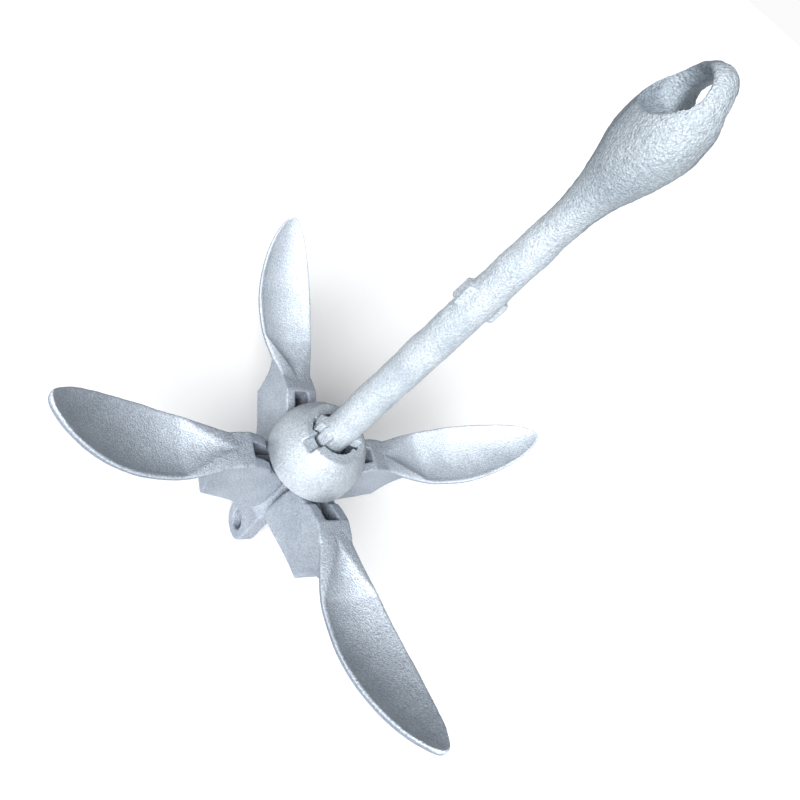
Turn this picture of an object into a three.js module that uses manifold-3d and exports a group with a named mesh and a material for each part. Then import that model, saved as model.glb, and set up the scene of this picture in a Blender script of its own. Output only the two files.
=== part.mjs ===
// Folding grapnel anchor: a cast shank with a rode eye, a crown that carries four hinged flukes,
// and a domed collar that slides on the shank. Millimetres, +Z up the shank, the lowest point of
// the trip-line lug at the origin. Angles about Z are azimuths in degrees from +X.
import * as THREE from "three";
import Module from "manifold-3d";
import { mergeVertices } from "three/addons/utils/BufferGeometryUtils.js";

// Driving dimensions.
const OVERALL_LENGTH = 303;
const TIP_RADIUS = 122.5;
const SHANK_RADIUS_LOW = 7.5;
const SHANK_RADIUS_HIGH = 6.2;
const SHANK_LUG_AZIMUTH = 158;
const SHANK_LUG_WIDTH = 6;
const LOWER_LUG = { reach: 10.8, base: 102, height: 5.5 };
const MID_LUG = { reach: 8.7, base: 195.5, height: 9.5 };
const STOP_LUG = { reach: 9.2, base: 100.2, height: 7.8 };
const STOP_LUG_WIDTH = 5.4;
const SPIGOT_RADIUS = 5.8;
const SPIGOT_BASE = 52;
const EYE_HOLE_HEIGHT = 291;
const EYE_THROAT = { halfWidth: 6.4, halfLength: 7 };
const EYE_MOUTH = { halfWidth: 9.7, halfLength: 9.5, depth: 6 };
const EYE_HALF_THICKNESS = 12;
const CROWN_CORE_RADIUS = 9.4;
const CROWN_CORE_TOP = 79;
const CROWN_CORE_BASE = 28;
const CROWN_PIN_HEIGHT = 62;
const CROWN_PIN_RADIUS = 2;
const CROWN_PIN_AZIMUTH = 135;
const TONGUE_THICKNESS = 6.4;
const TRIP_HOLE_RADIUS = 4.8;
const TRIP_LUG_RADIUS = 10;
const TRIP_LUG_THICKNESS = 8;
const PIVOT_RADIUS = 25;
const PIVOT_HEIGHT = 65;
const PIVOT_PIN_DIAMETER = 6;
const PIN_CLEARANCE = 0.3;
const FORK_WIDTH = 17;
const FORK_SLOT = 7.2;
const FORK_SLOT_END = 36.2;
const FORK_SLOT_TOP_END = 32.2;
const COLLAR_RADIUS = 22.4;
const COLLAR_CENTRE_HEIGHT = 86;
const COLLAR_RIM_HEIGHT = 79.6;
const COLLAR_CUP_RADIUS = 19.6;
const COLLAR_BORE_RADIUS = 9.9;
const COLLAR_FLAT_RADIUS = 15;
const COLLAR_GROOVE_AZIMUTH = 201;
const COLLAR_GROOVE_WIDTH = 6;
const COLLAR_GROOVE_FLOOR = 99.8;
const PALM_HALF_WIDTH = 15.6;
const PALM_ROOT_HEIGHT = 85.2;
const PALM_THICKNESS = 4.4;
const PALM_HOLLOW_DEPTH = 5.5;
const PALM_HOLLOW_START = 38;
const PALM_HOLLOW_FULL = 64;
const PALM_BEND_START = 50;
const PALM_RISE = 0.00525;
const PALM_CURL = 0.93e-5;

const wasm = await Module();
wasm.setup();

const casting = { roughness: 0.55, metalness: 0.7 };
const zincLight = new THREE.MeshStandardMaterial({ color: 0xb4bfcc, ...casting });
const zincMid = new THREE.MeshStandardMaterial({ color: 0xa3afbd, ...casting });
const zincDark = new THREE.MeshStandardMaterial({ color: 0x8f9baa, ...casting });

// A closed three.js geometry as a solid that can be joined and cut.
function solid(geometry) {
  const bare = geometry.clone();
  bare.deleteAttribute("normal");
  bare.deleteAttribute("uv");
  const merged = mergeVertices(bare, 1e-4);
  const index = merged.index.array;
  const faces = [];
  for (let i = 0; i < index.length; i += 3) {
    const [a, b, c] = [index[i], index[i + 1], index[i + 2]];
    if (a !== b && b !== c && c !== a) faces.push(a, b, c);
  }
  return new wasm.Manifold(new wasm.Mesh({
    numProp: 3,
    vertProperties: new Float32Array(merged.attributes.position.array),
    triVerts: new Uint32Array(faces),
  }));
}

function namedMesh(name, body, material) {
  const data = body.getMesh();
  const geometry = new THREE.BufferGeometry();
  const positions = new Float32Array(data.vertProperties);
  geometry.setAttribute("position", new THREE.BufferAttribute(positions, 3));
  geometry.setIndex(new THREE.BufferAttribute(new Uint32Array(data.triVerts), 1));
  geometry.computeVertexNormals();
  const mesh = new THREE.Mesh(geometry, material);
  mesh.name = name;
  return mesh;
}

function points(pairs) {
  return pairs.map(([x, y]) => new THREE.Vector2(x, y));
}

// A turned solid about Z from [radius, height] pairs that start and end on the axis.
function turned(pairs, segments = 32) {
  return new THREE.LatheGeometry(points(pairs), segments).rotateX(Math.PI / 2);
}

// A flat plate whose outline is given as [radius, height] pairs, centred on the radial plane.
function radialPlate(outline, thickness) {
  const settings = { depth: thickness, bevelEnabled: false, curveSegments: 10 };
  const plate = new THREE.ExtrudeGeometry(outline, settings);
  return plate.translate(0, 0, -thickness / 2).rotateX(Math.PI / 2);
}

function box(x, y, z, cx, cy, cz) {
  return new THREE.BoxGeometry(x, y, z).translate(cx, cy, cz);
}

// A round bar along Y through a radial plane, for pins and pin holes.
function crossBar(radius, length, r, z, segments = 20) {
  return new THREE.CylinderGeometry(radius, radius, length, segments).translate(r, 0, z);
}

// The round bar of the pin that crosses the shank's spigot and the crown's core.
function crownPinBar(radius, length) {
  return turnAboutZ(crossBar(radius, length, 0, CROWN_PIN_HEIGHT, 16), CROWN_PIN_AZIMUTH - 90);
}

function turnAboutZ(geometry, degrees) {
  return geometry.rotateZ(THREE.MathUtils.degToRad(degrees));
}

// A smooth curve through a list of [position, value] stations, level at both ends.
function station(list, at) {
  const last = list.length - 1;
  if (at <= list[0][0]) return list[0][1];
  if (at >= list[last][0]) return list[last][1];
  let i = 0;
  while (at > list[i + 1][0]) i += 1;
  const slope = (k) => (list[k + 1][1] - list[k - 1][1]) / (list[k + 1][0] - list[k - 1][0]);
  const [x0, y0] = list[i];
  const [x1, y1] = list[i + 1];
  const span = x1 - x0;
  const t = (at - x0) / span;
  const before = i === 0 ? 0 : slope(i) * span;
  const after = i + 1 === last ? 0 : slope(i + 1) * span;
  const bend = before * t * (1 - t) ** 2 - after * t * t * (1 - t);
  return y0 + (y1 - y0) * t * t * (3 - 2 * t) + bend;
}

// The shank's half-width across the eye's ring, and its half-thickness along the eye's hole, by height.
const shankHalfWidth = [
  [100, SHANK_RADIUS_LOW], [170, 7.3], [230, 6.5], [243, SHANK_RADIUS_HIGH], [253, 7.4], [262, 10.8],
  [270, 13.7], [278.5, 15], [286, 14.2], [291, 12.4], [297, 9], [300.5, 6], [302.2, 3.6], [OVERALL_LENGTH, 1.2],
];
const shankHalfThickness = [
  [100, SHANK_RADIUS_LOW], [170, 7.3], [230, 6.5], [243, SHANK_RADIUS_HIGH], [253, 7], [262, 8.9], [270, 11],
  [278.5, EYE_HALF_THICKNESS], [286, 11.3], [291, 9.9], [297, 7.2], [300.5, 4.8], [302.2, 2.9],
  [OVERALL_LENGTH, 1],
];

function shankSolid() {
  const heights = [
    81, 100, 170, 230, 243, 249, 254, 258, 262, 266, 271, 275, 279, 283, 287, 291, 295, 298, 300.5, 302.2,
  ];
  const profile = [[0, 81], ...heights.map((z) => [1, z]), [1, OVERALL_LENGTH], [0, OVERALL_LENGTH]];
  const bar = turned(profile, 28);
  const position = bar.attributes.position;
  for (let i = 0; i < position.count; i += 1) {
    const z = position.getZ(i);
    position.setX(i, position.getX(i) * station(shankHalfThickness, z));
    position.setY(i, position.getY(i) * station(shankHalfWidth, z));
  }
  const spigot = turned([[0, SPIGOT_BASE], [SPIGOT_RADIUS, SPIGOT_BASE], [SPIGOT_RADIUS, 85], [0, 85]], 24);
  let shank = solid(bar).add(solid(spigot));
  shank = shank.add(solid(lugPair(LOWER_LUG, SHANK_LUG_WIDTH))).add(solid(lugPair(MID_LUG, SHANK_LUG_WIDTH)));
  shank = shank.subtract(solid(eyeHole())).rotate([0, 0, SHANK_LUG_AZIMUTH]);
  shank = shank.add(solid(turnAboutZ(lugPair(STOP_LUG, STOP_LUG_WIDTH), COLLAR_GROOVE_AZIMUTH)));
  return shank.subtract(solid(crownPinBar(CROWN_PIN_RADIUS + PIN_CLEARANCE, 4 * CROWN_CORE_RADIUS)));
}

// Two lugs that stand out from opposite sides of the shank.
function lugPair(lug, width) {
  return box(2 * lug.reach, width, lug.height, 0, 0, lug.base + lug.height / 2);
}

// The eye's hole narrows to a throat at its middle and opens to a wide mouth on both faces.
function eyeHole() {
  const reach = EYE_HALF_THICKNESS + 4;
  const profile = [[0, -reach]];
  const steps = 16;
  for (let i = 0; i <= steps; i += 1) profile.push([1, -reach + (2 * reach * i) / steps]);
  profile.push([0, reach]);
  const hole = new THREE.LatheGeometry(points(profile), 24).rotateZ(-Math.PI / 2);
  const position = hole.attributes.position;
  for (let i = 0; i < position.count; i += 1) {
    const open = THREE.MathUtils.smoothstep(Math.abs(position.getX(i)), 0, EYE_MOUTH.depth);
    const halfWidth = THREE.MathUtils.lerp(EYE_THROAT.halfWidth, EYE_MOUTH.halfWidth, open);
    const halfLength = THREE.MathUtils.lerp(EYE_THROAT.halfLength, EYE_MOUTH.halfLength, open);
    position.setY(i, position.getY(i) * halfWidth);
    position.setZ(i, position.getZ(i) * halfLength);
  }
  return hole.translate(0, 0, EYE_HOLE_HEIGHT);
}

function crownSolid() {
  const core = turned([
    [0, CROWN_CORE_BASE], [5, CROWN_CORE_BASE], [8, CROWN_CORE_BASE + 4], [CROWN_CORE_RADIUS, 40],
    [CROWN_CORE_RADIUS, CROWN_CORE_TOP - 1.5], [CROWN_CORE_RADIUS - 1.5, CROWN_CORE_TOP], [0, CROWN_CORE_TOP],
  ]);
  let crown = solid(core);
  const tongue = tongueOutline();
  for (const azimuth of [0, 90, 180, 270]) {
    let plate = solid(turnAboutZ(radialPlate(tongue, TONGUE_THICKNESS), azimuth));
    const hole = crossBar(PIVOT_PIN_DIAMETER / 2 + PIN_CLEARANCE, 20, PIVOT_RADIUS, PIVOT_HEIGHT);
    plate = plate.subtract(solid(turnAboutZ(hole, azimuth)));
    crown = crown.add(plate);
  }
  crown = crown.add(solid(turnAboutZ(radialPlate(tripLugOutline(), TRIP_LUG_THICKNESS), 90)));
  const socketRadius = SPIGOT_RADIUS + PIN_CLEARANCE;
  const socketBase = SPIGOT_BASE - PIN_CLEARANCE;
  const socket = turned([[0, socketBase], [socketRadius, socketBase], [socketRadius, 90], [0, 90]], 24);
  crown = crown.subtract(solid(socket));
  return crown.subtract(solid(crownPinBar(CROWN_PIN_RADIUS + PIN_CLEARANCE, 4 * CROWN_CORE_RADIUS)));
}

// A tongue runs out from the core and ends in a half round about the fluke's pivot.
function tongueOutline() {
  const noseRadius = 10.3;
  const outline = new THREE.Shape();
  outline.moveTo(4, 44);
  outline.lineTo(13, 49);
  outline.lineTo(PIVOT_RADIUS, PIVOT_HEIGHT - noseRadius);
  outline.absarc(PIVOT_RADIUS, PIVOT_HEIGHT, noseRadius, -Math.PI / 2, Math.PI / 2, false);
  outline.lineTo(4, PIVOT_HEIGHT + noseRadius);
  return outline;
}

// The trip-line lug: a round ring about its hole that widens upward into the core.
function tripLugOutline() {
  const outline = new THREE.Shape();
  const ring = TRIP_LUG_RADIUS;
  outline.absarc(0, ring, ring, Math.PI, 2 * Math.PI, false);
  outline.quadraticCurveTo(ring - 1, ring + 12, ring - 1.2, 36);
  outline.lineTo(-ring + 1.2, 36);
  outline.quadraticCurveTo(-ring + 1, ring + 12, -ring, ring);
  const hole = new THREE.Path();
  hole.absarc(0, ring, TRIP_HOLE_RADIUS, 0, 2 * Math.PI, true);
  outline.holes.push(hole);
  return outline;
}

function collarSolid() {
  const outer = [
    [0, COLLAR_RIM_HEIGHT],
    [COLLAR_RADIUS - 0.6, COLLAR_RIM_HEIGHT],
    [COLLAR_RADIUS, COLLAR_RIM_HEIGHT + 0.8],
  ];
  const domeEnd = Math.acos(COLLAR_FLAT_RADIUS / COLLAR_RADIUS);
  const domeSteps = 6;
  for (let i = 0; i <= domeSteps; i += 1) {
    const angle = (domeEnd * i) / domeSteps;
    outer.push([COLLAR_RADIUS * Math.cos(angle), COLLAR_CENTRE_HEIGHT + COLLAR_RADIUS * Math.sin(angle)]);
  }
  outer.push([0, COLLAR_CENTRE_HEIGHT + COLLAR_RADIUS * Math.sin(domeEnd)]);
  const cup = [
    [0, 70], [COLLAR_CUP_RADIUS, 70], [COLLAR_CUP_RADIUS, 83], [18.4, 87], [15, 90.4], [11, 92], [0, 92],
  ];
  let collar = solid(turned(outer, 40)).subtract(solid(turned(cup, 32)));
  const bore = [[0, 70], [COLLAR_BORE_RADIUS, 70], [COLLAR_BORE_RADIUS, 120], [0, 120]];
  collar = collar.subtract(solid(turned(bore, 32)));
  const slot = box(2 * (LOWER_LUG.reach + 0.8), SHANK_LUG_WIDTH + 1.2, 60, 0, 0, 95);
  collar = collar.subtract(solid(turnAboutZ(slot, SHANK_LUG_AZIMUTH)));
  const groove = box(60, COLLAR_GROOVE_WIDTH, 20, 0, 0, COLLAR_GROOVE_FLOOR + 10);
  return collar.subtract(solid(turnAboutZ(groove, COLLAR_GROOVE_AZIMUTH)));
}

// Height of the palm's edge above the trip lug, by distance from the shank's axis.
function palmEdgeHeight(r) {
  const beyond = Math.max(r - PALM_BEND_START, 0);
  return PALM_ROOT_HEIGHT + PALM_RISE * beyond ** 2 + PALM_CURL * beyond ** 3;
}

function palmHalfWidth(r) {
  const stations = [
    [34, 6.5], [44, 8.8], [56, 12.3], [66, 14.4], [76, 15.3], [86, PALM_HALF_WIDTH],
    [98, 14.2], [110, 10.8], [118, 6.3], [TIP_RADIUS, 0],
  ];
  return station(stations, r);
}

function palmSolid() {
  const radii = [36, 44, 52, 60, 68, 76, 84, 91, 98, 104, 109.5, 114, 117.6, 120.4];
  const profile = [[0, 34], ...radii.map((r) => [1, r]), [0, TIP_RADIUS]];
  const blade = new THREE.LatheGeometry(points(profile), 16);
  const position = blade.attributes.position;
  for (let i = 0; i < position.count; i += 1) {
    const r = position.getY(i);
    const across = -position.getX(i);
    const through = position.getZ(i);
    const fade = Math.min(1, palmHalfWidth(r) / PALM_HALF_WIDTH);
    const open = THREE.MathUtils.clamp((r - PALM_HOLLOW_START) / (PALM_HOLLOW_FULL - PALM_HOLLOW_START), 0, 1);
    const inHollow = Math.min(1, Math.abs(across) / Math.max(through > 0 ? open : 1, 0.05));
    const hollow = PALM_HOLLOW_DEPTH * fade * open;
    const thickness = PALM_THICKNESS * (0.55 + 0.45 * fade);
    const skin = (Math.sign(through) * Math.sqrt(Math.abs(through)) * thickness) / 2;
    const drop = (inHollow ** 2 - 1) * hollow - thickness / 2;
    const tilt = Math.atan(palmEdgeHeight(r + 0.5) - palmEdgeHeight(r - 0.5));
    const lift = Math.abs(across) + Math.abs(through) > 0.01 ? drop + skin : -thickness / 2;
    const height = palmEdgeHeight(r) + Math.cos(tilt) * lift;
    position.setXYZ(i, r - Math.sin(tilt) * lift, across * palmHalfWidth(r), height);
  }
  return solid(blade);
}

// The forked root seen from the side: round about the pivot, deep under the palm, with a hollow end.
function forkOutline() {
  const outline = new THREE.Shape();
  const cheek = 14.5;
  outline.moveTo(47.5, 59.5);
  outline.lineTo(34, 54);
  outline.lineTo(24, 48.8);
  outline.lineTo(16, 45.2);
  outline.quadraticCurveTo(PIVOT_RADIUS - cheek, 43.6, PIVOT_RADIUS - cheek, 50);
  outline.lineTo(PIVOT_RADIUS - cheek, PIVOT_HEIGHT);
  outline.absarc(PIVOT_RADIUS, PIVOT_HEIGHT, cheek, Math.PI, Math.PI * 0.56, true);
  outline.lineTo(23.2, 81.2);
  outline.quadraticCurveTo(27.8, 84, 33, 86.2);
  outline.lineTo(42, 85.6);
  outline.lineTo(48.5, 82);
  outline.lineTo(57, 79.6);
  outline.quadraticCurveTo(48.4, 74.5, 47.5, 59.5);
  return outline;
}

function flukeSolid() {
  const fork = solid(radialPlate(forkOutline(), FORK_WIDTH));
  let fluke = fork.add(palmSolid());
  fluke = fluke.subtract(solid(slotSolid()));
  const hole = crossBar(PIVOT_PIN_DIAMETER / 2 + PIN_CLEARANCE, 30, PIVOT_RADIUS, PIVOT_HEIGHT);
  return fluke.subtract(solid(hole));
}

// The slot clears the tongue's nose, and leans inward above it just enough for the folded pose.
function slotSolid() {
  const outline = new THREE.Shape(points([
    [0, 30], [FORK_SLOT_END, 30], [FORK_SLOT_END, PIVOT_HEIGHT + 2], [FORK_SLOT_TOP_END, 79],
    [FORK_SLOT_TOP_END, 95], [0, 95],
  ]));
  return radialPlate(outline, FORK_SLOT);
}

const anchor = new THREE.Group();
anchor.add(namedMesh("shank", shankSolid(), zincLight));
anchor.add(namedMesh("crown", crownSolid(), zincDark));
anchor.add(namedMesh("crown_pin", solid(crownPinBar(CROWN_PIN_RADIUS, 2 * CROWN_CORE_RADIUS - 1)), zincMid));
anchor.add(namedMesh("collar", collarSolid(), zincMid));

const flukeBody = flukeSolid();
const pinBody = solid(crossBar(PIVOT_PIN_DIAMETER / 2, FORK_WIDTH, PIVOT_RADIUS, PIVOT_HEIGHT));
for (const [place, azimuth] of [["right", 0], ["top", 90], ["left", 180], ["bottom", 270]]) {
  const arm = new THREE.Group();
  arm.rotation.z = THREE.MathUtils.degToRad(azimuth);
  arm.add(namedMesh(`fluke_${place}`, flukeBody, zincLight));
  arm.add(namedMesh(`pivot_pin_${place}`, pinBody, zincDark));
  anchor.add(arm);
}

export default anchor;
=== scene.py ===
import math

import bmesh
import bpy
import numpy as np
from mathutils import Matrix, Vector, noise


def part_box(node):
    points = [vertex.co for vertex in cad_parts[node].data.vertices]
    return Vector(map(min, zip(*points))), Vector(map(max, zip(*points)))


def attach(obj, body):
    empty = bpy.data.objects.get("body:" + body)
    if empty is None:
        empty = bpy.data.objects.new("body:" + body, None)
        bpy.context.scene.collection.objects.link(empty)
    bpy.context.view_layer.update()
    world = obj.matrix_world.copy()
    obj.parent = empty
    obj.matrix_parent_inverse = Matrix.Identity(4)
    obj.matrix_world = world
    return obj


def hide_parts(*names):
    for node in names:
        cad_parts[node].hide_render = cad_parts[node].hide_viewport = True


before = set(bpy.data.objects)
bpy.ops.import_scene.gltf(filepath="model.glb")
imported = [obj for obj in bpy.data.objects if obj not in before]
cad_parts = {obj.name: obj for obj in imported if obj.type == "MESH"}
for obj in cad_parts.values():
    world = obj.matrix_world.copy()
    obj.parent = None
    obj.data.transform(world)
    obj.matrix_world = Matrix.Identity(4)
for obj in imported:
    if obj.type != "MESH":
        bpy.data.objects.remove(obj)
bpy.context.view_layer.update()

# Shapes are given in millimetres in the CAD frame, and become metres when a mesh is made.
# Materials, lights and the camera are given in metres.
MM = 0.001

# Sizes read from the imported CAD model.
ANCHOR_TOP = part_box("shank")[1].z / MM
SHANK_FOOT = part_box("shank")[0].z / MM
COLLAR_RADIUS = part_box("collar")[1].x / MM
COLLAR_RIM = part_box("collar")[0].z / MM
PIN_LOW, PIN_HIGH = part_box("pivot_pin_right")
PIVOT_RADIUS = (PIN_LOW.x + PIN_HIGH.x) / 2 / MM
PIVOT_HEIGHT = (PIN_LOW.z + PIN_HIGH.z) / 2 / MM
PIN_RADIUS = (PIN_HIGH.z - PIN_LOW.z) / 2 / MM
FORK_WIDTH = (PIN_HIGH.y - PIN_LOW.y) / MM
CROWN_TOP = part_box("crown")[1].z / MM

# The shank. A lug is its reach from the axis, its lower edge and its upper edge.
SHANK_LUG_AZIMUTH = 158
SHANK_LUG_WIDTH = 6
LOWER_LUG = (10.8, 102, 107.5)
MID_LUG = (8.7, 195.5, 205)
STOP_LUG = (9.2, 100.2, 108)
STOP_LUG_WIDTH = 5.4
SPIGOT_RADIUS = 5.8
SPIGOT_TOP = 84

# The eye and its hole. The hole's throat and mouth are each a half width and a half length.
EYE_HOLE_HEIGHT = 291
EYE_THROAT = (6.4, 7)
EYE_MOUTH = (9.7, 9.5)
EYE_MOUTH_DEPTH = 6
EYE_HALF_THICKNESS = 12

# The crown.
CORE_RADIUS = 9.4
SOCKET_RADIUS = 6.1
SOCKET_GAP = 0.3
TONGUE_THICKNESS = 6.4
TONGUE_NOSE = 10.3
TRIP_HOLE_RADIUS = 4.8
TRIP_LUG_RADIUS = 10
TRIP_LUG_THICKNESS = 8
TRIP_LUG_TOP = 36

# The collar.
COLLAR_CENTRE = 86
COLLAR_CUP_RADIUS = 19.6
COLLAR_BORE_RADIUS = 9.9
COLLAR_FLAT_RADIUS = 15
KEY_SLOT_GAP = 0.6
KEY_SLOT_END_GAP = 0.8
GROOVE_AZIMUTH = 201
GROOVE_WIDTH = 6
GROOVE_FLOOR = 99.8

# The flukes: a fork with a slot for the crown's tongue, and a palm. The palm's wall thins where the palm is
# narrower than its thin half width, and the lip round its hollow is a share of its half width.
FLUKES = (("right", 0), ("top", 90), ("left", 180), ("bottom", 270))
FORK_NOSE = 14.5
FORK_SLOT = 7.2
FORK_SLOT_END = 36.2
SLOT_TOP_END = 32.2
PALM_ROOT_RADIUS = 36
PALM_ROOT_HEIGHT = 85.2
PALM_BEND_START = 50
PALM_RISE = 0.00525
PALM_CURL = 0.93e-5
PALM_HALF_WIDTH = 15.6
PALM_WALL = 4.4
PALM_THIN_HALF_WIDTH = 3
HOLLOW_DEPTH = 5.5
HOLLOW_START = 38
HOLLOW_FULL = 64
HOLLOW_LIP = 0.16
TIP_RADIUS = 122.5
TIP_ROUND_START = 118
TIP_ROUND_HALF_WIDTH = 6.3

# The pins end this far under the skin of the forks' cheeks, and the cross pin this far inside the core.
PIN_COVER = 0.8
CROSS_PIN_COVER = 0.4

FLOOR_REACH = 40000
FLOOR_BOTTOM = -20
FLOOR_TOP = -0.5

# Where the painted light and shade in the materials change, in metres: by the palm's radius, and by height up
# the eye and its flanks.
PALM_PAINTED_LIGHT_RADII = (0.038, 0.062)
EYE_PAINTED_SHADE_HEIGHTS = (0.225, 0.262)
EYE_FLANK_PAINTED_SHADE_HEIGHTS = (0.222, 0.245)


# ---------------------------------------------------------------- mesh tools

def new_object(name, vertices, faces):
    """A mesh object in the scene, from vertices in millimetres."""
    mesh = bpy.data.meshes.new(name)
    mesh.from_pydata([tuple(v * MM for v in point) for point in vertices], [], faces)
    mesh.update()
    obj = bpy.data.objects.new(name, mesh)
    bpy.context.scene.collection.objects.link(obj)
    return obj


def loft(name, rings):
    """A closed skin over rings of equal point counts. The first and last rings close on their centres."""
    count = len(rings[0])
    vertices = [tuple(p) for ring in rings for p in ring]
    faces = []
    for i in range(len(rings) - 1):
        for j in range(count):
            k = (j + 1) % count
            faces.append((i * count + j, i * count + k, (i + 1) * count + k, (i + 1) * count + j))
    first, last = np.mean(rings[0], axis=0), np.mean(rings[-1], axis=0)
    vertices += [tuple(first), tuple(last)]
    base = (len(rings) - 1) * count
    for j in range(count):
        k = (j + 1) % count
        faces.append((len(vertices) - 2, k, j))
        faces.append((len(vertices) - 1, base + j, base + k))
    return new_object(name, vertices, faces)


def turned(name, profile, segments=96):
    """A solid of revolution about Z from (radius, height) pairs that start and end on the axis."""
    angles = np.linspace(0, 2 * math.pi, segments, endpoint=False)
    inner = profile[1:-1]
    rings = [[(r * math.cos(a), r * math.sin(a), z) for a in angles] for r, z in inner]
    obj = loft(name, rings)
    mesh = obj.data
    mesh.vertices[len(mesh.vertices) - 2].co.z = profile[0][1] * MM
    mesh.vertices[len(mesh.vertices) - 1].co.z = profile[-1][1] * MM
    return obj


def plate(name, outline, thickness):
    """A plate in the XZ plane from an (x, z) outline, centred on Y = 0."""
    half = thickness / 2
    count = len(outline)
    vertices = [(x, -half, z) for x, z in outline] + [(x, half, z) for x, z in outline]
    faces = [tuple(range(count)), tuple(range(2 * count - 1, count - 1, -1))]
    for j in range(count):
        k = (j + 1) % count
        faces.append((j, count + j, count + k, k))
    obj = new_object(name, vertices, faces)
    outward(obj)
    return obj


def outward(obj):
    """Turns every face of a closed mesh outward."""
    work = bmesh.new()
    work.from_mesh(obj.data)
    bmesh.ops.recalc_face_normals(work, faces=work.faces)
    work.to_mesh(obj.data)
    work.free()


def box(name, low, high):
    """A box between two opposite corners."""
    corners = [(x, y, z) for x in (low[0], high[0]) for y in (low[1], high[1]) for z in (low[2], high[2])]
    faces = [(0, 1, 3, 2), (4, 6, 7, 5), (0, 4, 5, 1), (2, 3, 7, 6), (0, 2, 6, 4), (1, 5, 7, 3)]
    return new_object(name, corners, faces)


def bar(name, radius, start, end, segments=48):
    """A round bar between two points."""
    start, end = Vector(start), Vector(end)
    axis = (end - start).normalized()
    side = axis.orthogonal().normalized()
    other = axis.cross(side)
    angles = np.linspace(0, 2 * math.pi, segments, endpoint=False)
    rings = [[p + (side * math.cos(a) + other * math.sin(a)) * radius for a in angles] for p in (start, end)]
    return loft(name, rings)


def arc(cx, cz, radius, start, end, steps):
    """Points of a circular arc in degrees."""
    angles = np.radians(np.linspace(start, end, steps + 1))
    return [(cx + radius * math.cos(a), cz + radius * math.sin(a)) for a in angles]


def curve(a, control, b, steps):
    """Points of a quadratic curve after a, up to b."""
    result = []
    for i in range(1, steps + 1):
        t = i / steps
        result.append(tuple(
            (1 - t) ** 2 * a[k] + 2 * t * (1 - t) * control[k] + t * t * b[k] for k in range(2)))
    return result


def station(table, at):
    """A smooth curve through (place, value) rows, level at both ends."""
    last = len(table) - 1
    if at <= table[0][0]:
        return table[0][1]
    if at >= table[last][0]:
        return table[last][1]
    i = max(k for k in range(last) if table[k][0] <= at)
    slopes = [0] * (last + 1)
    for k in (i, i + 1):
        if 0 < k < last:
            slopes[k] = (table[k + 1][1] - table[k - 1][1]) / (table[k + 1][0] - table[k - 1][0])
    (x0, y0), (x1, y1) = table[i], table[i + 1]
    span = x1 - x0
    t = (at - x0) / span
    bend = span * (slopes[i] * t * (1 - t) ** 2 - slopes[i + 1] * t * t * (1 - t))
    return y0 + (y1 - y0) * t * t * (3 - 2 * t) + bend


def apply_modifiers(obj):
    depsgraph = bpy.context.evaluated_depsgraph_get()
    mesh = bpy.data.meshes.new_from_object(obj.evaluated_get(depsgraph))
    obj.modifiers.clear()
    obj.data = mesh


def boolean(obj, operation, *tools):
    """Joins or cuts an object with each tool in turn, and removes the tools."""
    for tool in tools:
        step = obj.modifiers.new("boolean", "BOOLEAN")
        step.operation = operation
        step.solver = "EXACT"
        step.object = tool
        apply_modifiers(obj)
        bpy.data.objects.remove(tool)


def turn(obj, degrees):
    """Turns a mesh about the shank's axis."""
    obj.data.transform(Matrix.Rotation(math.radians(degrees), 4, "Z"))
    return obj


def cast(obj, voxel, smoothing):
    """Fuses the joined shapes into one skin with the soft edges of a sand casting."""
    remesh = obj.modifiers.new("remesh", "REMESH")
    remesh.mode = "VOXEL"
    remesh.voxel_size = voxel * MM
    smooth = obj.modifiers.new("smooth", "SMOOTH")
    smooth.factor = 0.5
    smooth.iterations = smoothing
    apply_modifiers(obj)


def roughen(obj, seed, coarse, fine):
    """Moves the skin along its normals by swells and pits of these heights, in millimetres."""
    swell_size, pit_size = 9, 1.7
    mesh = obj.data
    normals = [v.normal.copy() for v in mesh.vertices]
    shift = Vector((seed * 0.37, seed * 0.61, seed * 0.23))
    for vertex, normal in zip(mesh.vertices, normals):
        place = vertex.co / MM
        swell = noise.noise(place / swell_size + shift) * coarse
        pit = noise.noise(place / pit_size + shift * 3) * fine
        vertex.co += normal * (swell + pit) * MM
    mesh.update()


def finished(obj, name, material, body, slot, *nodes):
    """Names a piece, gives it its material, and ties it to its body and the CAD nodes it replaces."""
    obj.name = name
    obj.data.name = name
    for polygon in obj.data.polygons:
        polygon.use_smooth = True
    obj.data.materials.clear()
    obj.data.materials.append(material)
    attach(obj, body)
    if nodes:
        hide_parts(*nodes)


# ---------------------------------------------------------------- materials

class Nodes:
    """A small helper that adds shader nodes and joins their sockets."""

    def __init__(self, name):
        self.material = bpy.data.materials.new(name)
        self.material.use_nodes = True
        self.tree = self.material.node_tree
        self.shader = self.tree.nodes["Principled BSDF"]

    def add(self, kind, inputs=None, **settings):
        """A new node, with each input joined to a socket or set to a value."""
        node = self.tree.nodes.new(kind)
        for key, value in settings.items():
            setattr(node, key, value)
        for key, value in (inputs or {}).items():
            if isinstance(value, bpy.types.NodeSocket):
                self.tree.links.new(value, node.inputs[key])
            else:
                node.inputs[key].default_value = value
        return node

    def ramp(self, factor, stops):
        """The colour of a ramp of (place, colour) stops at a factor."""
        node = self.add("ShaderNodeValToRGB", {"Fac": factor})
        elements = node.color_ramp.elements
        while len(elements) < len(stops):
            elements.new(0.5)
        for element, (place, colour) in zip(elements, stops):
            element.position = place
            element.color = (*colour, 1)
        return node.outputs["Color"]

    def link(self, output, socket):
        self.tree.links.new(output, self.shader.inputs[socket])


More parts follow.
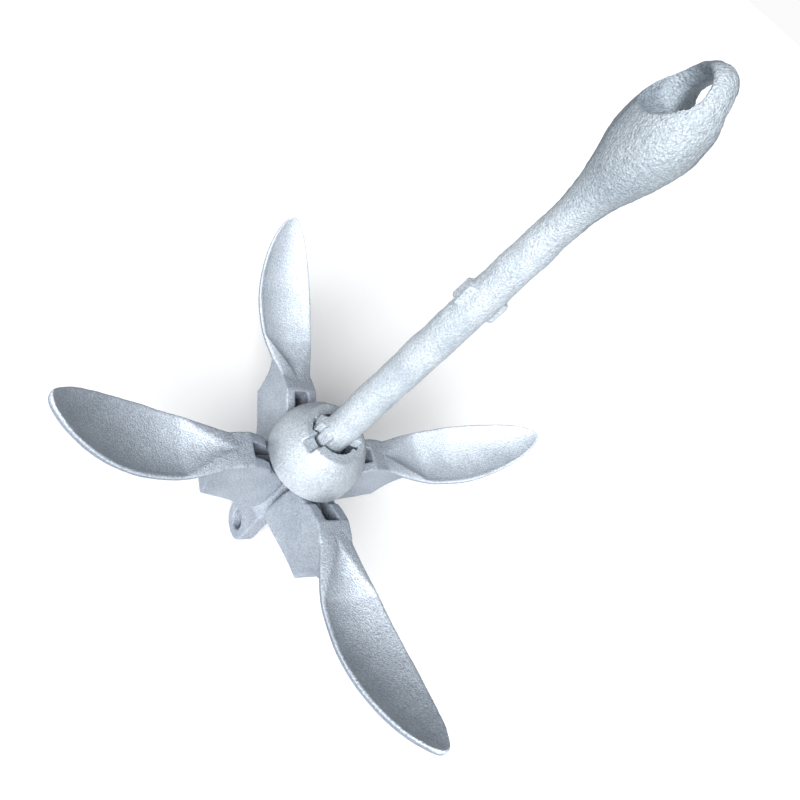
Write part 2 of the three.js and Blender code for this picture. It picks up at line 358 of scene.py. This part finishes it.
def zinc(name, dark, light, grain, relief, roughness, seed, painted_shading=None):
    """Hot-dip zinc on a sand casting: cloudy greys, fine grain and small pits."""
    n = Nodes(name)
    place = n.add("ShaderNodeTexCoord").outputs["Object"]
    moved = n.add("ShaderNodeMapping", {"Vector": place, "Location": (seed, seed * 0.5, -seed)}).outputs[0]
    clouds = n.add("ShaderNodeTexNoise", {"Vector": moved, "Scale": 60.0, "Detail": 5.0, "Roughness": 0.6})
    sand = n.add("ShaderNodeTexNoise", {"Vector": moved, "Scale": 1250.0, "Detail": 3.0, "Roughness": 0.7})
    specks = n.add("ShaderNodeTexVoronoi", {"Vector": moved, "Scale": 1400.0}, feature="F1")
    base = n.ramp(clouds.outputs["Fac"], [(0.3, dark), (0.7, light)])
    low, high = 1 - 0.42 * grain, 1 + 0.22 * grain
    speckle = n.ramp(sand.outputs["Fac"], [(0.36, (low, low, low)), (0.64, (high, high, high))])
    colour = n.add("ShaderNodeMix", data_type="RGBA", blend_type="MULTIPLY")
    set_mix(n, colour, base, speckle, 1)
    result = colour.outputs["Result"]
    # Where given, a function paints light and shade into the colour: painted highlights on lit faces and
    # painted shade on faces turned from the light.
    if painted_shading:
        result = painted_shading(n, place, result)
    n.link(result, "Base Color")
    shine = n.add("ShaderNodeMapRange", {
        "Value": sand.outputs["Fac"], "From Min": 0.3, "From Max": 0.7,
        "To Min": roughness - 0.08, "To Max": roughness + 0.1})
    n.link(shine.outputs["Result"], "Roughness")
    grains = {0: sand.outputs["Fac"], 1: specks.outputs["Distance"]}
    height = n.add("ShaderNodeMath", grains, operation="ADD")
    fine = n.add("ShaderNodeBump", {"Height": height.outputs[0], "Strength": relief, "Distance": 0.0003})
    soft = n.add("ShaderNodeBump", {
        "Height": clouds.outputs["Fac"], "Strength": 0.35, "Distance": 0.001, "Normal": fine.outputs[0]})
    n.link(soft.outputs[0], "Normal")
    n.shader.inputs["Metallic"].default_value = 0.22
    return n.material


def shaded(n, colour, value, low, high, stops):
    """Multiplies a colour by a ramp over a value that runs from low to high."""
    share = n.add("ShaderNodeMapRange", {
        "Value": value, "From Min": low, "From Max": high, "To Min": 0.0, "To Max": 1.0})
    level = n.ramp(share.outputs["Result"], stops)
    result = n.add("ShaderNodeMix", data_type="RGBA", blend_type="MULTIPLY")
    set_mix(n, result, colour, level, 1)
    return result.outputs["Result"]


def painted_palm_light_and_shade(n, place, colour):
    """Painted light and shade: the palms' upper faces, turned up to the light, are painted brighter than the
    forks, and the palms' outer walls are painted duller, as shade.
    """
    flat = n.add("ShaderNodeVectorMath", {0: place, 1: (1, 1, 0)}, operation="MULTIPLY").outputs[0]
    radius = n.add("ShaderNodeVectorMath", {0: flat}, operation="LENGTH").outputs["Value"]
    palm_share = n.add("ShaderNodeMapRange", {
        "Value": radius, "From Min": PALM_PAINTED_LIGHT_RADII[0], "From Max": PALM_PAINTED_LIGHT_RADII[1]})
    normal = n.add("ShaderNodeTexCoord").outputs["Normal"]
    upward = n.add("ShaderNodeSeparateXYZ", {0: normal}).outputs["Z"]
    face_share = n.add("ShaderNodeMapRange", {"Value": upward, "From Min": 0.1, "From Max": 0.45})
    palm_level, face_level = palm_share.outputs["Result"], face_share.outputs["Result"]
    face = n.add("ShaderNodeMath", {0: palm_level, 1: face_level}, operation="MULTIPLY").outputs[0]
    wall = n.add("ShaderNodeMath", {0: palm_level, 1: face}, operation="SUBTRACT").outputs[0]
    # Painted highlight on the upward palm faces; painted shade on the forks and, below, on the palms' outer
    # walls.
    colour = shaded(n, colour, face, 0.0, 1.0, [(0, (0.84, 0.85, 0.87)), (1, (1.24, 1.24, 1.24))])
    return shaded(n, colour, wall, 0.0, 1.0, [(0, (1, 1, 1)), (1, (0.74, 0.76, 0.79))])


def painted_eye_light_and_shade(n, place, colour):
    """Painted light and shade: the eye is painted duller than the bar below it, which is painted brighter,
    and duller still along its two flanks, which turn away from the light.
    """
    height = n.add("ShaderNodeSeparateXYZ", {0: place}).outputs["Z"]
    # Painted light on the bar and painted shade on the eye, by height.
    colour = shaded(n, colour, height, *EYE_PAINTED_SHADE_HEIGHTS, [(0, (1.17, 1.16, 1.15)), (1, (0.9, 0.91, 0.91))])
    flat = n.add("ShaderNodeVectorMath", {0: place, 1: (1, 1, 0)}, operation="MULTIPLY").outputs[0]
    around = n.add("ShaderNodeVectorMath", {0: flat}, operation="NORMALIZE").outputs[0]
    # The flanks are the sides that turn away from the camera and the light; they get painted shade.
    facing = n.add("ShaderNodeVectorMath", {0: around, 1: (0.53, -0.848, 0)}, operation="DOT_PRODUCT")
    flank = n.add("ShaderNodeMath", {0: facing.outputs["Value"]}, operation="ABSOLUTE").outputs[0]
    high = n.add("ShaderNodeMapRange", {
        "Value": height, "From Min": EYE_FLANK_PAINTED_SHADE_HEIGHTS[0], "From Max": EYE_FLANK_PAINTED_SHADE_HEIGHTS[1]})
    shares = {0: flank, 1: high.outputs["Result"]}
    both = n.add("ShaderNodeMath", shares, operation="MULTIPLY").outputs[0]
    return shaded(n, colour, both, 0.87, 0.94, [(0, (1, 1, 1)), (1, (0.72, 0.73, 0.75))])


def set_mix(n, node, a, b, factor):
    """Joins the colour sockets of a Mix node, which shares socket names between its data types."""
    colours = [s for s in node.inputs if s.type == "RGBA"]
    n.tree.links.new(a, colours[0])
    n.tree.links.new(b, colours[1])
    node.inputs[0].default_value = factor


# The shank's and the flukes' materials carry painted light and shade as well as the zinc's own colour.
SHANK_ZINC = zinc(
    "shank_zinc", dark=(0.43, 0.48, 0.53), light=(0.54, 0.58, 0.62), grain=0.5, relief=0.95, roughness=0.56,
    seed=1.3, painted_shading=painted_eye_light_and_shade)
CROWN_ZINC = zinc(
    "crown_zinc", dark=(0.38, 0.42, 0.48), light=(0.48, 0.52, 0.58), grain=0.6, relief=0.8, roughness=0.55,
    seed=4.1)
COLLAR_ZINC = zinc(
    "collar_zinc", dark=(0.47, 0.51, 0.56), light=(0.56, 0.60, 0.64), grain=0.5, relief=0.6, roughness=0.52,
    seed=7.7)
FLUKE_ZINC = zinc(
    "fluke_zinc", dark=(0.47, 0.51, 0.56), light=(0.56, 0.60, 0.65), grain=0.55, relief=0.65, roughness=0.5,
    seed=2.9, painted_shading=painted_palm_light_and_shade)
PIN_ZINC = zinc(
    "pin_zinc", dark=(0.42, 0.46, 0.52), light=(0.52, 0.56, 0.61), grain=0.5, relief=0.5, roughness=0.45,
    seed=5.2)


# ---------------------------------------------------------------- shank

# Half widths across the eye and half depths through it, by height.
SHANK_HALF_WIDTHS = [
    (100, 7.5), (170, 7.3), (230, 6.5), (243, 6.2), (253, 7.4), (262, 10.8), (270, 13.7),
    (278.5, 15), (286, 14.2), (291, 12.4), (297, 9), (300.5, 6), (302.2, 3.6), (ANCHOR_TOP, 1.2)]
SHANK_HALF_DEPTHS = [
    (100, 7.5), (170, 7.3), (230, 6.5), (243, 6.2), (253, 7), (262, 8.9), (270, 11),
    (278.5, EYE_HALF_THICKNESS), (286, 11.3), (291, 9.9), (297, 7.2), (300.5, 4.8), (302.2, 2.9),
    (ANCHOR_TOP, 1)]


def shank_bar():
    """The round bar that swells into the eye."""
    heights = list(np.linspace(81, 240, 60)) + list(np.linspace(242, 301, 60)) + [302, 302.6, ANCHOR_TOP]
    angles = np.linspace(0, 2 * math.pi, 64, endpoint=False)
    rings = []
    for z in heights:
        depth, width = station(SHANK_HALF_DEPTHS, z), station(SHANK_HALF_WIDTHS, z)
        rings.append([(depth * math.cos(a), width * math.sin(a), z) for a in angles])
    return loft("shank_bar", rings)


def eye_cutter():
    """The eye's hole, narrow at its middle and wide at both faces."""
    reach = EYE_HALF_THICKNESS + 4
    angles = np.linspace(0, 2 * math.pi, 64, endpoint=False)
    rings = []
    for x in np.linspace(-reach, reach, 49):
        t = min(1, abs(x) / EYE_MOUTH_DEPTH)
        opened = t * t * (3 - 2 * t)
        sizes = zip(EYE_THROAT, EYE_MOUTH)
        width, length = (throat + (mouth - throat) * opened for throat, mouth in sizes)
        rings.append([(x, width * math.cos(a), EYE_HOLE_HEIGHT + length * math.sin(a)) for a in angles])
    return loft("eye_cutter", rings)


def lug_pair(lug, width):
    """Two lugs on opposite sides of the shank, as one bar through it."""
    reach, low, high = lug
    return box("lug", (-reach, -width / 2, low), (reach, width / 2, high))


def make_shank():
    shank = shank_bar()
    spigot = bar("spigot", SPIGOT_RADIUS, (0, 0, SHANK_FOOT), (0, 0, SPIGOT_TOP))
    lugs = [lug_pair(lug, SHANK_LUG_WIDTH) for lug in (LOWER_LUG, MID_LUG)]
    boolean(shank, "UNION", spigot, *lugs)
    boolean(shank, "DIFFERENCE", eye_cutter())
    turn(shank, SHANK_LUG_AZIMUTH)
    boolean(shank, "UNION", turn(lug_pair(STOP_LUG, STOP_LUG_WIDTH), GROOVE_AZIMUTH))
    cast(shank, voxel=0.5, smoothing=4)
    roughen(shank, seed=1, coarse=0.35, fine=0.17)
    finished(shank, "shank_casting", SHANK_ZINC, "frame", "shank_zinc", "shank")


# ---------------------------------------------------------------- crown

def tongue_outline():
    """A tongue from the core out to a round nose about the fluke's pivot."""
    return ([(4, 44), (13, 49)] + arc(PIVOT_RADIUS, PIVOT_HEIGHT, TONGUE_NOSE, -90, 90, 24)
            + [(4, PIVOT_HEIGHT + TONGUE_NOSE)])


def trip_lug_outline():
    """A lug with a round foot, a little narrower where it meets the core."""
    ring = TRIP_LUG_RADIUS
    waist = ring + 12
    right = curve((ring, ring), (ring - 1, waist), (ring - 1.2, TRIP_LUG_TOP), 8)
    left = curve((-ring + 1.2, TRIP_LUG_TOP), (-ring + 1, waist), (-ring, ring), 8)
    return arc(0, ring, ring, 180, 360, 32) + right + [(-ring + 1.2, TRIP_LUG_TOP)] + left[:-1]


def make_crown():
    core = turned("core", [
        (0, 28), (5, 28), (8, 32), (CORE_RADIUS, 40), (CORE_RADIUS, CROWN_TOP - 1.5),
        (CORE_RADIUS - 1.5, CROWN_TOP), (0, CROWN_TOP)])
    tongues = [turn(plate("tongue", tongue_outline(), TONGUE_THICKNESS), azimuth) for _, azimuth in FLUKES]
    lug = turn(plate("lug", trip_lug_outline(), TRIP_LUG_THICKNESS), 90)
    boolean(core, "UNION", lug, *tongues)
    socket = bar("socket", SOCKET_RADIUS, (0, 0, SHANK_FOOT - SOCKET_GAP), (0, 0, CROWN_TOP + 10))
    trip_hole = bar("trip_hole", TRIP_HOLE_RADIUS, (-20, 0, TRIP_LUG_RADIUS), (20, 0, TRIP_LUG_RADIUS))
    boolean(core, "DIFFERENCE", socket, trip_hole)
    cast(core, voxel=0.6, smoothing=4)
    roughen(core, seed=5, coarse=0.3, fine=0.1)
    finished(core, "crown_casting", CROWN_ZINC, "frame", "crown_zinc", "crown")


# ---------------------------------------------------------------- collar

def make_collar():
    """A dome with a cup under it, slots that let the shank's lugs through, and a groove for its stop lugs."""
    dome_end = math.degrees(math.acos(COLLAR_FLAT_RADIUS / COLLAR_RADIUS))
    outer = [(0, COLLAR_RIM), (COLLAR_RADIUS - 0.6, COLLAR_RIM), (COLLAR_RADIUS, COLLAR_RIM + 0.8)]
    outer += arc(0, COLLAR_CENTRE, COLLAR_RADIUS, 0, dome_end, 30)
    outer += [(0, outer[-1][1])]
    collar = turned("collar", outer)
    cup = turned("cup", [
        (0, 70), (COLLAR_CUP_RADIUS, 70), (COLLAR_CUP_RADIUS, 83), (19.1, 85.2), (17.9, 87.7), (15, 90.2),
        (11, 91.6), (0, 92)])
    bore = bar("bore", COLLAR_BORE_RADIUS, (0, 0, 70), (0, 0, 120), 96)
    slot_half = SHANK_LUG_WIDTH / 2 + KEY_SLOT_GAP
    slot_reach = LOWER_LUG[0] + KEY_SLOT_END_GAP
    slot = turn(box("slot", (-slot_reach, -slot_half, 65), (slot_reach, slot_half, 125)), SHANK_LUG_AZIMUTH)
    groove = box("groove", (-30, -GROOVE_WIDTH / 2, GROOVE_FLOOR), (30, GROOVE_WIDTH / 2, 125))
    boolean(collar, "DIFFERENCE", cup, bore, slot, turn(groove, GROOVE_AZIMUTH))
    cast(collar, voxel=0.45, smoothing=3)
    roughen(collar, seed=9, coarse=0.2, fine=0.05)
    finished(collar, "collar_casting", COLLAR_ZINC, "collar", "collar_zinc", "collar")


# ---------------------------------------------------------------- flukes

# The palm's half widths, by radius.
PALM_HALF_WIDTHS = [
    (34, 6.5), (44, 8.8), (56, 12.3), (66, 14.4), (76, 15.3), (86, PALM_HALF_WIDTH), (98, 14.2), (110, 10.8),
    (TIP_ROUND_START, TIP_ROUND_HALF_WIDTH), (TIP_RADIUS, 0.3)]


def palm_edge_height(r):
    """The height of the palm's edges, which rise faster and faster to the tip."""
    beyond = max(r - PALM_BEND_START, 0)
    return PALM_ROOT_HEIGHT + PALM_RISE * beyond ** 2 + PALM_CURL * beyond ** 3


def palm_half_width(r):
    """The palm's half width by radius, ending in a round tip."""
    if r <= TIP_ROUND_START:
        return station(PALM_HALF_WIDTHS, r)
    return TIP_ROUND_HALF_WIDTH * math.sqrt((TIP_RADIUS - r) / (TIP_RADIUS - TIP_ROUND_START))


def palm():
    """The spoon: a dished leaf whose edges rise to the tip, with a rounded lip round its hollow."""
    steps = 20
    rings = []
    body = np.linspace(PALM_ROOT_RADIUS, TIP_ROUND_START, 72)
    tip = TIP_RADIUS - (TIP_RADIUS - TIP_ROUND_START) * np.linspace(0.92, 0.04, 12) ** 2
    for r in np.concatenate([body, tip]):
        half = palm_half_width(r)
        fade = min(1, half / PALM_HALF_WIDTH)
        opened = min(1, max(0, (r - HOLLOW_START) / (HOLLOW_FULL - HOLLOW_START)))
        hollow = HOLLOW_DEPTH * fade * opened
        wall = PALM_WALL * (0.5 + 0.5 * fade) * math.sqrt(min(1, half / PALM_THIN_HALF_WIDTH))
        tilt = math.atan(palm_edge_height(r + 0.5) - palm_edge_height(r - 0.5))
        ring = []
        for j in range(2 * steps):
            a = math.pi * j / steps
            across, through = math.cos(a), math.sin(a)
            reach = min(1, abs(across) / max(opened, 0.05)) if through > 0 else abs(across)
            lip = min(1, (1 - reach) / HOLLOW_LIP) if through > 0 else 1
            dish = -hollow * (1 - reach * reach) * lip
            skin = math.copysign(math.sqrt(abs(through)), through) * wall / 2
            lift = dish + skin - wall / 2
            height = palm_edge_height(r) + math.cos(tilt) * lift
            ring.append((r - math.sin(tilt) * lift, across * half, height))
        rings.append(ring[::-1])
    return loft("palm", rings)


def fork_outline():
    """The fork's cheek, round about the pivot, with a top that runs out under the palm."""
    left = PIVOT_RADIUS - FORK_NOSE
    points = [(47.5, 59.5), (34, 54), (24, 48.8), (16, 45.2)]
    points += curve((16, 45.2), (left, 43.6), (left, 50), 8)
    points += arc(PIVOT_RADIUS, PIVOT_HEIGHT, FORK_NOSE, 180, 101, 20)
    points += [(23.2, 81.2)] + curve((23.2, 81.2), (27.8, 84), (33, 85.7), 8)
    points += [(40, 85), (48.5, 82), (57, 79.6)] + curve((57, 79.6), (48.4, 74.5), (47.5, 59.5), 10)[:-1]
    return points


def fluke_pattern():
    """One smooth fluke at azimuth 0, which the four castings are copied from."""
    fork = plate("fork", fork_outline(), FORK_WIDTH)
    blade = palm()
    outward(blade)
    boolean(fork, "UNION", blade)
    slot = plate("slot", [
        (0, 30), (FORK_SLOT_END, 30), (FORK_SLOT_END, PIVOT_HEIGHT + 2), (SLOT_TOP_END, 79),
        (SLOT_TOP_END, 95), (0, 95)], FORK_SLOT)
    boolean(fork, "DIFFERENCE", slot)
    cast(fork, voxel=0.45, smoothing=9)
    return fork


def make_flukes():
    pattern = fluke_pattern()
    for number, (place, azimuth) in enumerate(FLUKES):
        fluke = bpy.data.objects.new("fluke", pattern.data.copy())
        bpy.context.scene.collection.objects.link(fluke)
        roughen(fluke, seed=20 + number, coarse=0.18, fine=0.05)
        turn(fluke, azimuth)
        name = f"fluke_{place}"
        finished(fluke, f"{name}_casting", FLUKE_ZINC, name, "fluke_zinc", name)
    bpy.data.objects.remove(pattern)


# ---------------------------------------------------------------- pins

def make_pin(name, body, node, radius, start, end):
    pin = bar(name, radius, start, end)
    cast(pin, voxel=0.35, smoothing=2)
    finished(pin, name, PIN_ZINC, body, "pin_zinc", node)


def make_pins():
    for place, azimuth in FLUKES:
        turned_by = Matrix.Rotation(math.radians(azimuth), 3, "Z")
        half = FORK_WIDTH / 2 - PIN_COVER
        ends = [turned_by @ Vector((PIVOT_RADIUS, side * half, PIVOT_HEIGHT)) for side in (-1, 1)]
        make_pin(f"pin_{place}", f"fluke_{place}", f"pivot_pin_{place}", PIN_RADIUS, *ends)
    low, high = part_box("crown_pin")
    centre = (low + high) / 2 / MM
    radius = (high.z - low.z) / 2 / MM
    direction = Vector((-1, 1, 0)).normalized() * (CORE_RADIUS - CROSS_PIN_COVER)
    make_pin("cross_pin", "frame", "crown_pin", radius, centre - direction, centre + direction)


# ---------------------------------------------------------------- stage

def look(obj, target):
    """Points a light at a place."""
    direction = Vector(target) - obj.location
    obj.rotation_euler = direction.to_track_quat("-Z", "Y").to_euler()


def make_floor():
    floor = box("floor", (-FLOOR_REACH, -FLOOR_REACH, FLOOR_BOTTOM), (FLOOR_REACH, FLOOR_REACH, FLOOR_TOP))
    n = Nodes("floor_white")
    n.shader.inputs["Base Color"].default_value = (0.95, 0.95, 0.95, 1)
    n.shader.inputs["Roughness"].default_value = 0.95
    floor.data.materials.append(n.material)


def make_sky():
    """A pale sky for the camera to see, and a dimmer one that lights the object."""
    world = bpy.data.worlds.new("studio")
    world.use_nodes = True
    tree = world.node_tree
    dim = tree.nodes["Background"]
    dim.inputs["Color"].default_value = (0.9, 0.95, 1, 1)
    dim.inputs["Strength"].default_value = 0.2
    pale = tree.nodes.new("ShaderNodeBackground")
    pale.inputs["Color"].default_value = (0.97, 0.97, 0.97, 1)
    seen = tree.nodes.new("ShaderNodeMixShader")
    rays = tree.nodes.new("ShaderNodeLightPath")
    tree.links.new(rays.outputs["Is Camera Ray"], seen.inputs[0])
    tree.links.new(dim.outputs[0], seen.inputs[1])
    tree.links.new(pale.outputs[0], seen.inputs[2])
    tree.links.new(seen.outputs[0], tree.nodes["World Output"].inputs["Surface"])
    bpy.context.scene.world = world


def make_sun(name, place, strength, spread):
    """A light from a place towards the flukes, spread over an angle in degrees."""
    data = bpy.data.lights.new(name, "SUN")
    data.energy = strength
    data.angle = math.radians(spread)
    light = bpy.data.objects.new(name, data)
    light.location = place
    bpy.context.scene.collection.objects.link(light)
    look(light, (0, 0, 0.1))


def make_stage():
    """A pale floor and sky, with a soft light from behind the camera and a weak one from above."""
    make_floor()
    make_sky()
    make_sun("key", (-0.62, -0.58, 0.68), strength=4.6, spread=34)
    make_sun("top", (0.1, -0.1, 1.1), strength=0.6, spread=60)


def make_camera():
    """A close camera above the left and lower flukes, which looks down at the crown with a shifted lens."""
    data = bpy.data.cameras.new("camera")
    data.sensor_width = 36
    data.lens = 30.33
    data.shift_x = 0.0763
    data.shift_y = -0.1225
    camera = bpy.data.objects.new("camera", data)
    right = Vector((0.8146, -0.2395, 0.5283)).normalized()
    back = Vector((-0.5572, -0.5765, 0.5977))
    back = (back - right * back.dot(right)).normalized()
    up = back.cross(right)
    place = Vector((-0.1749, -0.127, 0.317))
    camera.matrix_world = Matrix.Translation(place) @ Matrix((right, up, back)).transposed().to_4x4()
    bpy.context.scene.collection.objects.link(camera)
    bpy.context.scene.camera = camera


make_camera()
make_stage()
make_shank()
make_crown()
make_collar()
make_flukes()
make_pins()
bpy.context.scene.view_settings.view_transform = "Standard"
bpy.context.scene.view_settings.gamma = 0.76
